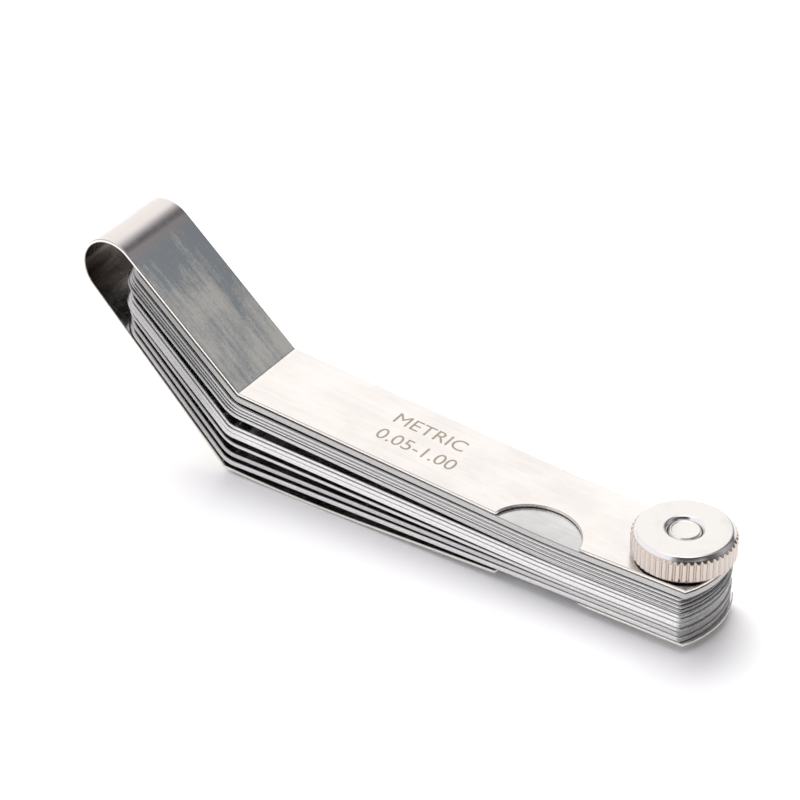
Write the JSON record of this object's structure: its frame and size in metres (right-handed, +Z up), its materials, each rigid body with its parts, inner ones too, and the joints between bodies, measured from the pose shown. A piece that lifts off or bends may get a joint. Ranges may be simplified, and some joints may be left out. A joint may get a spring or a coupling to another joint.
{
  "type": "feeler gauge",
  "caption": "Bent-blade feeler gauge: thin steel blades with an elbow, stacked on a pivot screw between the plates of a folded strip holder and clamped by a knurled lock nut.",
  "frame": {"origin": "on the pivot screw's axis, in the plane the tool rests on (the outer face of the screw's head)", "axes": "+Z up along the pivot axis, -X from the pivot along the blades to the elbow and the U-bend, +Y across the width away from the thumb notches"},
  "size_m": [0.101, 0.0142, 0.0316],
  "materials": {
    "holder_sheet": "bright rolled stainless sheet, fine brushing along the strip, sheared edges",
    "gauge_steel": "polished spring steel strip with bright edges and a trace of oil",
    "nickel_plate": "bright nickel plate on a straight knurl, satin turned top",
    "screw_steel": "nickel-plated turned steel",
    "washer_steel": "plain steel washer"
  },
  "bodies": {
    "holder": {"holder": "holder_sheet", "pivot_screw": "screw_steel"},
    "clamp_washer": {"clamp_washer": "washer_steel"},
    "lock_nut": {"lock_nut": "nickel_plate"},
    "blade_080": {"blade_080": "gauge_steel"},
    "blade_075": {"blade_075": "gauge_steel"},
    "blade_060": {"blade_060": "gauge_steel"},
    "blade_090": {"blade_090": "gauge_steel"},
    "blade_070": {"blade_070": "gauge_steel"},
    "blade_055": {"blade_055": "gauge_steel"},
    "blade_025": {"blade_025": "gauge_steel"},
    "blade_030": {"blade_030": "gauge_steel"},
    "blade_020": {"blade_020": "gauge_steel"},
    "blade_035": {"blade_035": "gauge_steel"},
    "blade_015": {"blade_015": "gauge_steel"},
    "blade_040": {"blade_040": "gauge_steel"},
    "blade_010": {"blade_010": "gauge_steel"},
    "blade_050": {"blade_050": "gauge_steel"},
    "blade_005": {"blade_005": "gauge_steel"},
    "blade_100": {"blade_100": "gauge_steel"}
  },
  "joints": [
    {"name": "swing_080", "type": "hinge", "parent": "holder", "child": "blade_080", "pos_m": [0, 0, 0.00225], "axis": [0, 0, 1], "continuous": true},
    {"name": "swing_075", "type": "hinge", "parent": "holder", "child": "blade_075", "pos_m": [0, 0, 0.00305], "axis": [0, 0, 1], "continuous": true},
    {"name": "swing_060", "type": "hinge", "parent": "holder", "child": "blade_060", "pos_m": [0, 0, 0.00376], "axis": [0, 0, 1], "continuous": true},
    {"name": "swing_090", "type": "hinge", "parent": "holder", "child": "blade_090", "pos_m": [0, 0, 0.00454], "axis": [0, 0, 1], "continuous": true},
    {"name": "swing_070", "type": "hinge", "parent": "holder", "child": "blade_070", "pos_m": [0, 0, 0.00537], "axis": [0, 0, 1], "continuous": true},
    {"name": "swing_055", "type": "hinge", "parent": "holder", "child": "blade_055", "pos_m": [0, 0, 0.00602], "axis": [0, 0, 1], "continuous": true},
    {"name": "swing_025", "type": "hinge", "parent": "holder", "child": "blade_025", "pos_m": [0, 0, 0.00653], "axis": [0, 0, 1], "continuous": true},
    {"name": "swing_030", "type": "hinge", "parent": "holder", "child": "blade_030", "pos_m": [0, 0, 0.00685], "axis": [0, 0, 1], "continuous": true},
    {"name": "swing_020", "type": "hinge", "parent": "holder", "child": "blade_020", "pos_m": [0, 0, 0.00714], "axis": [0, 0, 1], "continuous": true},
    {"name": "swing_035", "type": "hinge", "parent": "holder", "child": "blade_035", "pos_m": [0, 0, 0.00746], "axis": [0, 0, 1], "continuous": true},
    {"name": "swing_015", "type": "hinge", "parent": "holder", "child": "blade_015", "pos_m": [0, 0, 0.00776], "axis": [0, 0, 1], "continuous": true},
    {"name": "swing_040", "type": "hinge", "parent": "holder", "child": "blade_040", "pos_m": [0, 0, 0.00808], "axis": [0, 0, 1], "continuous": true},
    {"name": "swing_010", "type": "hinge", "parent": "holder", "child": "blade_010", "pos_m": [0, 0, 0.00838], "axis": [0, 0, 1], "continuous": true},
    {"name": "swing_050", "type": "hinge", "parent": "holder", "child": "blade_050", "pos_m": [0, 0, 0.00872], "axis": [0, 0, 1], "continuous": true},
    {"name": "swing_005", "type": "hinge", "parent": "holder", "child": "blade_005", "pos_m": [0, 0, 0.00904], "axis": [0, 0, 1], "continuous": true},
    {"name": "swing_100", "type": "hinge", "parent": "holder", "child": "blade_100", "pos_m": [0, 0, 0.00963], "axis": [0, 0, 1], "continuous": true},
    {"name": "nut_lift", "type": "slide", "parent": "holder", "child": "clamp_washer", "axis": [0, 0, 1], "range_m": [0, 0.0012]},
    {"name": "nut_turn", "type": "hinge", "parent": "clamp_washer", "child": "lock_nut", "pos_m": [0, 0, 0.0109], "axis": [0, 0, 1], "range_deg": [0, 540]}
  ],
  "couplings": [
    {"joint": "nut_lift", "follows": "nut_turn", "m_per_rad": 0.0001273}
  ]
}
